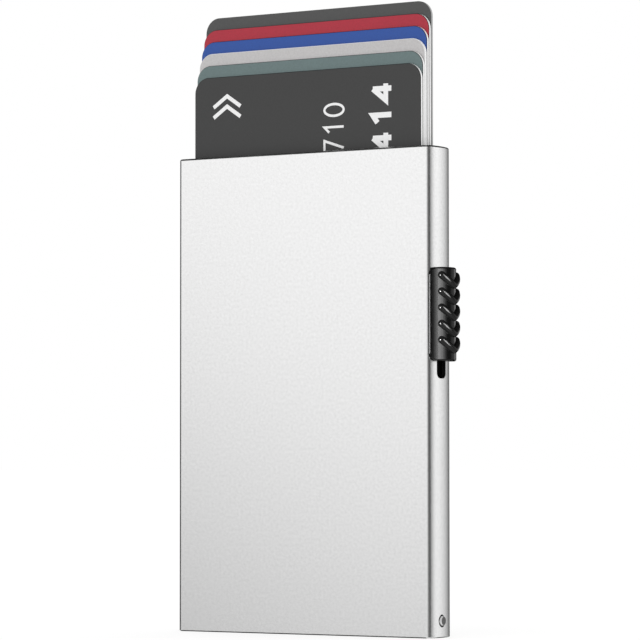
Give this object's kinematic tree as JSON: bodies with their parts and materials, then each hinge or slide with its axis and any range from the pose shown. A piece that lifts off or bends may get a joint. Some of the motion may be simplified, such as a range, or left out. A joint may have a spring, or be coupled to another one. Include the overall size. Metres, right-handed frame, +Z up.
{
  "type": "pop-up card holder",
  "caption": "Slim aluminium card holder with a thumb slider on its side that raises bank cards from the open top as a stepped fan.",
  "frame": {"origin": "middle of the flat base that the holder stands on, midway between its side walls and faces", "axes": "+Z up out of the mouth where the cards rise, +X towards the thumb slider, -Y out of the front face"},
  "size_m": [0.064, 0.0084, 0.1256],
  "materials": {
    "blasted_aluminium": "bead blasted and clear anodised, polished edges",
    "steel": "turned steel",
    "black_steel": "black satin",
    "slider_plastic": "semi-gloss moulded",
    "black_plastic": "matt moulded",
    "grey_plastic": "matt moulded",
    "felt": "short felt",
    "card_charcoal": "printed satin card",
    "card_slate": "printed satin card",
    "card_pale_grey": "printed satin card",
    "card_blue": "printed satin card",
    "card_red": "printed satin card",
    "card_dark_grey": "printed satin card"
  },
  "bodies": {
    "case": {"housing": "blasted_aluminium", "base_plug": "grey_plastic", "side_pin_right": "steel", "side_pin_left": "steel", "pivot_pin": "steel", "front_felt": "felt", "rear_felt": "felt", "left_guide_rail": "black_plastic", "right_guide_rail": "black_plastic"},
    "slider": {"slider_button": "slider_plastic", "push_bar": "black_steel", "drive_pin": "steel", "slider_screw_upper": "steel", "slider_screw_lower": "steel"},
    "lever": {"fan_lever": "grey_plastic"},
    "card_1": {"card_1": "card_charcoal"},
    "card_2": {"card_2": "card_slate"},
    "card_3": {"card_3": "card_pale_grey"},
    "card_4": {"card_4": "card_blue"},
    "card_5": {"card_5": "card_red"},
    "card_6": {"card_6": "card_dark_grey"}
  },
  "joints": [
    {"name": "slider_travel", "type": "slide", "parent": "case", "child": "slider", "axis": [0, 0, 1], "range_m": [-0.014, 0]},
    {"name": "lever_swing", "type": "hinge", "parent": "case", "child": "lever", "pos_m": [0.02389, 0, 0.00702], "axis": [0, 1, 0], "range_deg": [-44.87, 0]},
    {"name": "card_1_lift", "type": "slide", "parent": "case", "child": "card_1", "axis": [0, 0, 1], "range_m": [-0.01685, 0]},
    {"name": "card_2_lift", "type": "slide", "parent": "case", "child": "card_2", "axis": [0, 0, 1], "range_m": [-0.0194, 0]},
    {"name": "card_3_lift", "type": "slide", "parent": "case", "child": "card_3", "axis": [0, 0, 1], "range_m": [-0.02195, 0]},
    {"name": "card_4_lift", "type": "slide", "parent": "case", "child": "card_4", "axis": [0, 0, 1], "range_m": [-0.0245, 0]},
    {"name": "card_5_lift", "type": "slide", "parent": "case", "child": "card_5", "axis": [0, 0, 1], "range_m": [-0.02705, 0]},
    {"name": "card_6_lift", "type": "slide", "parent": "case", "child": "card_6", "axis": [0, 0, 1], "range_m": [-0.0296, 0]}
  ],
  "couplings": [
    {"joint": "lever_swing", "follows": "slider_travel", "rad_per_m": 55.936},
    {"joint": "card_1_lift", "follows": "slider_travel", "ratio": 1.2036},
    {"joint": "card_2_lift", "follows": "slider_travel", "ratio": 1.3857},
    {"joint": "card_3_lift", "follows": "slider_travel", "ratio": 1.5678},
    {"joint": "card_4_lift", "follows": "slider_travel", "ratio": 1.75},
    {"joint": "card_5_lift", "follows": "slider_travel", "ratio": 1.9321},
    {"joint": "card_6_lift", "follows": "slider_travel", "ratio": 2.1143}
  ]
}
